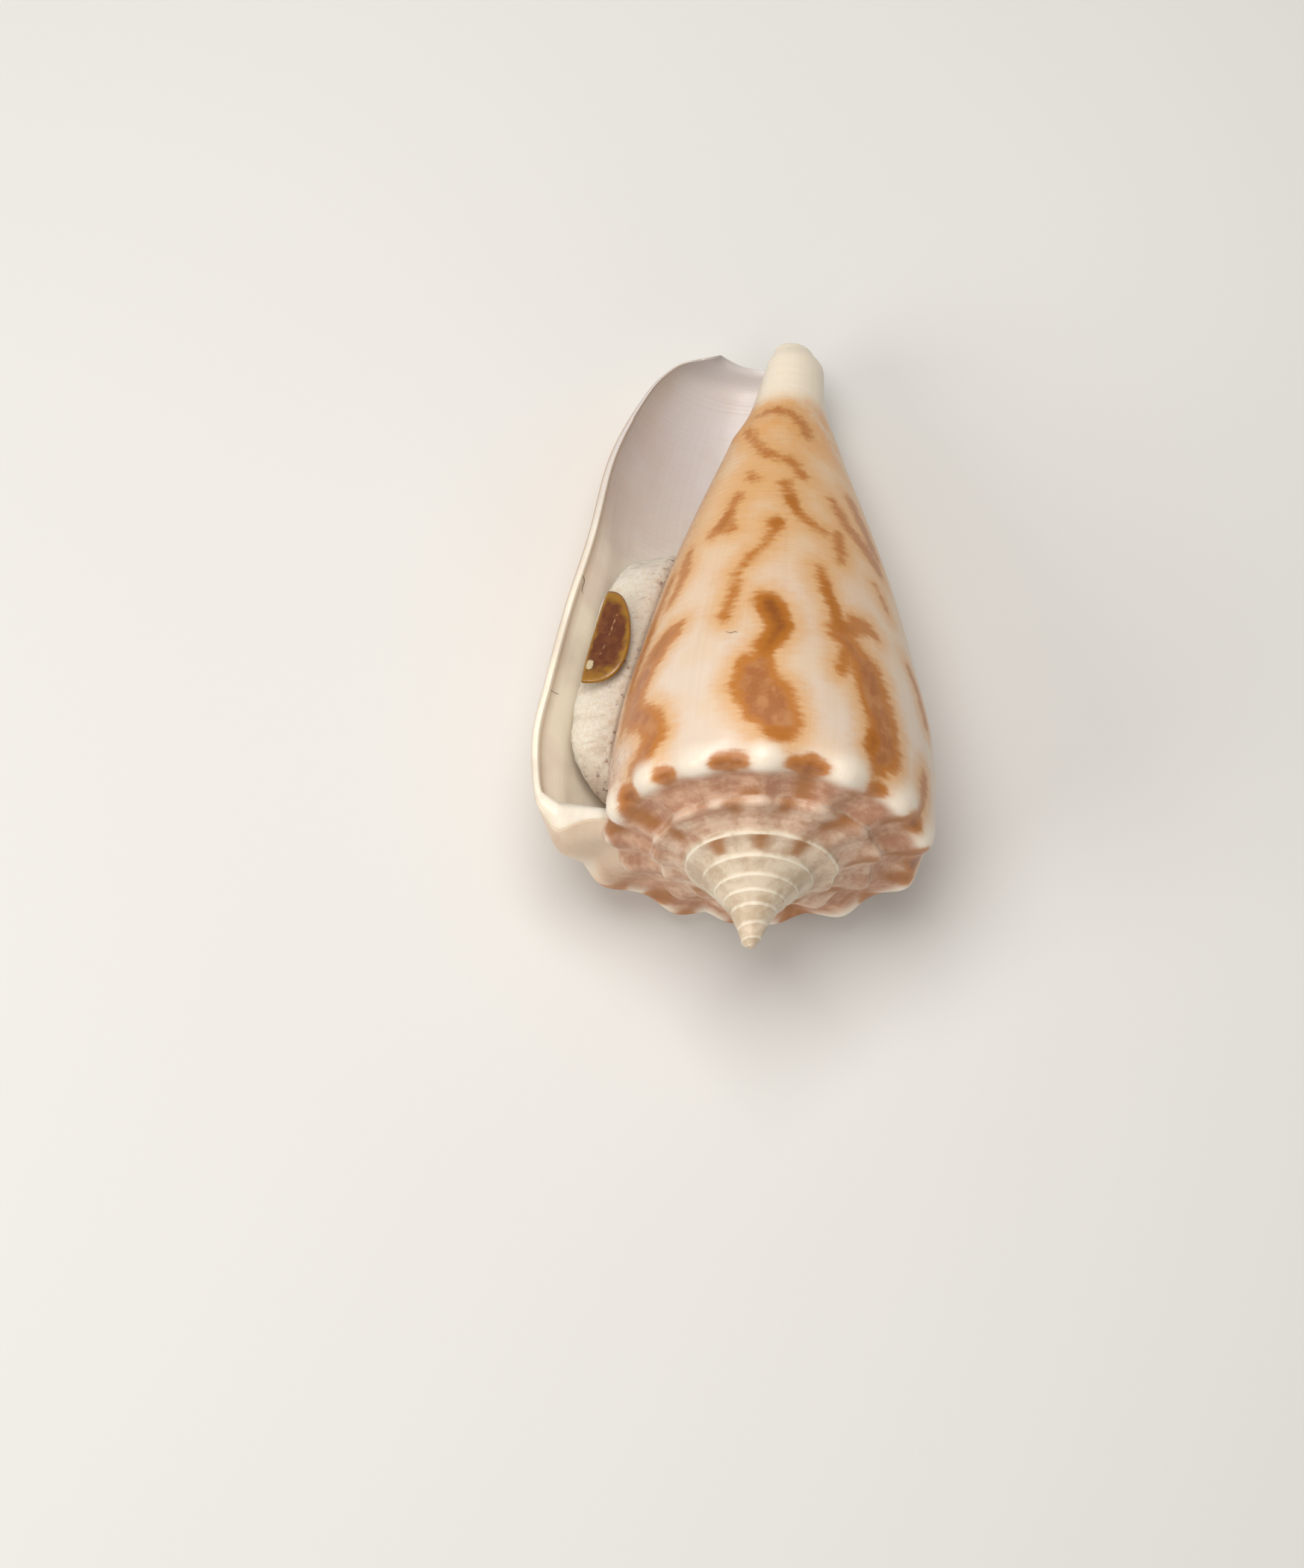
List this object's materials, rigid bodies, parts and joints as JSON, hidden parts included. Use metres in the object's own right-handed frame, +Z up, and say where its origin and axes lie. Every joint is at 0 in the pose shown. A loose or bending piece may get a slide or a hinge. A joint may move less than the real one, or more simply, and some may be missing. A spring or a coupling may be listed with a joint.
{
  "type": "conus alexandrei shell",
  "caption": "Cone shell lying aperture up, with a low knobbed spire, a flaring outer lip, a cotton wool plug in the aperture and a small horny operculum on the plug.",
  "frame": {"origin": "on the surface the shell lies on, under the centre of its box", "axes": "+Z up, +Y from the apex towards the front tip, the aperture faces up on the -X side"},
  "size_m": [0.0184, 0.0312, 0.0172],
  "materials": {
    "shell": "glossy porcelain-like shell, cream with orange-brown flames",
    "cotton": "matte crumbly cotton wool",
    "horn": "glossy translucent brown horn"
  },
  "bodies": {
    "root": {"shell": "shell", "cotton_plug": "cotton", "operculum": "horn"}
  },
  "joints": []
}
